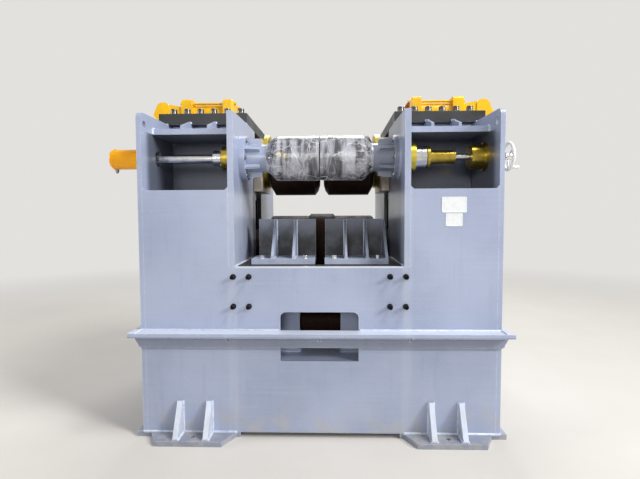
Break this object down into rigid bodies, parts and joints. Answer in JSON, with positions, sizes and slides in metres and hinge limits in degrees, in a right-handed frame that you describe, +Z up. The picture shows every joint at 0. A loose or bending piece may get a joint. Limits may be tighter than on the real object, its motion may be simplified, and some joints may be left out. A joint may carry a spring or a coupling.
{
  "type": "h-beam straightening machine",
  "caption": "Welded portal that flattens the flanges of H-beams: two press rollers side by side over a banded drive roller, with web guides in front.",
  "frame": {"origin": "on the floor at the centre of the four anchor holes, which is the centre of the welded frame", "axes": "+X to the right of someone who faces the front, +Y to the rear along the beam's way, +Z up"},
  "size_m": [2.94, 2.15, 2.492],
  "materials": {
    "frame_paint": "blue-grey gloss enamel",
    "black_plate": "black enamel",
    "roller_steel": "black oxide",
    "yellow_zinc": "yellow zinc plating",
    "bright_steel": "turned and ground",
    "bare_steel": "bare, slightly rusted",
    "yellow_paint": "yellow enamel",
    "orange_paint": "orange enamel",
    "grey_casting": "grey painted casting",
    "wrapped_head": "grey, under clear film",
    "wheel_chrome": "polished"
  },
  "bodies": {
    "frame": {"base_plates": "frame_paint", "cross_plates": "frame_paint", "cross_shaft": "bare_steel", "drive_barrels": "yellow_paint", "drive_chocks": "black_plate", "drive_heads": "yellow_paint", "drive_housings": "yellow_paint", "foot_gussets": "frame_paint", "front_brackets": "frame_paint", "front_plate": "frame_paint", "front_shelf": "frame_paint", "guide_cylinder": "orange_paint", "guide_sleeves": "grey_casting", "inner_deck": "frame_paint", "left_hub": "yellow_zinc", "left_inner_wall": "frame_paint", "left_outer_wall": "frame_paint", "partitions": "frame_paint", "rear_brackets": "frame_paint", "rear_plate": "frame_paint", "rear_shelf": "frame_paint", "return_barrels": "black_plate", "right_inner_wall": "frame_paint", "right_nut": "bright_steel", "right_outer_wall": "frame_paint", "right_ring": "yellow_zinc", "screw_box": "yellow_zinc", "shaft_pedestals": "black_plate", "shelf_gussets": "frame_paint", "side_shelves": "frame_paint", "table_plate": "frame_paint", "top_gussets": "frame_paint", "top_plates": "black_plate", "tower_floors": "frame_paint"},
    "left_press": {"left_carriage": "frame_paint", "left_return_rod": "black_plate", "left_press_screw": "bright_steel", "left_bearing_disc": "yellow_zinc"},
    "right_press": {"right_carriage": "frame_paint", "right_return_rod": "black_plate", "right_press_screw": "bright_steel", "right_bearing_disc": "yellow_zinc"},
    "left_roller": {"left_press_roller": "roller_steel"},
    "right_roller": {"right_press_roller": "roller_steel"},
    "lower_roller": {"drive_roller": "roller_steel"},
    "left_guide": {"left_guide_head": "wrapped_head", "left_guide_rod": "bright_steel"},
    "right_guide": {"right_guide_head": "wrapped_head", "right_guide_rod": "yellow_zinc"},
    "wheel": {"handwheel": "wheel_chrome", "adjusting_screw": "bright_steel"}
  },
  "joints": [
    {"name": "left_press_slide", "type": "slide", "parent": "frame", "child": "left_press", "axis": [0, 0, 1], "range_m": [-0.06, 0.06]},
    {"name": "right_press_slide", "type": "slide", "parent": "frame", "child": "right_press", "axis": [0, 0, 1], "range_m": [-0.06, 0.06]},
    {"name": "left_roller_spin", "type": "hinge", "parent": "left_press", "child": "left_roller", "pos_m": [0, 0, 1.931], "axis": [1, 0, 0], "continuous": true},
    {"name": "right_roller_spin", "type": "hinge", "parent": "right_press", "child": "right_roller", "pos_m": [0, 0, 1.931], "axis": [1, 0, 0], "continuous": true},
    {"name": "drive_roller_spin", "type": "hinge", "parent": "frame", "child": "lower_roller", "pos_m": [0, 0, 1.23], "axis": [1, 0, 0], "continuous": true},
    {"name": "left_guide_slide", "type": "slide", "parent": "frame", "child": "left_guide", "axis": [-1, 0, 0], "range_m": [0, 0.04]},
    {"name": "handwheel_turn", "type": "hinge", "parent": "frame", "child": "wheel", "pos_m": [1.339, -0.655, 1.91], "axis": [1, 0, 0], "range_deg": [0, 1440]},
    {"name": "right_guide_slide", "type": "slide", "parent": "frame", "child": "right_guide", "axis": [1, 0, 0], "range_m": [0, 0.04]}
  ],
  "couplings": [
    {"joint": "right_guide_slide", "follows": "handwheel_turn", "m_per_rad": 0.00159}
  ]
}
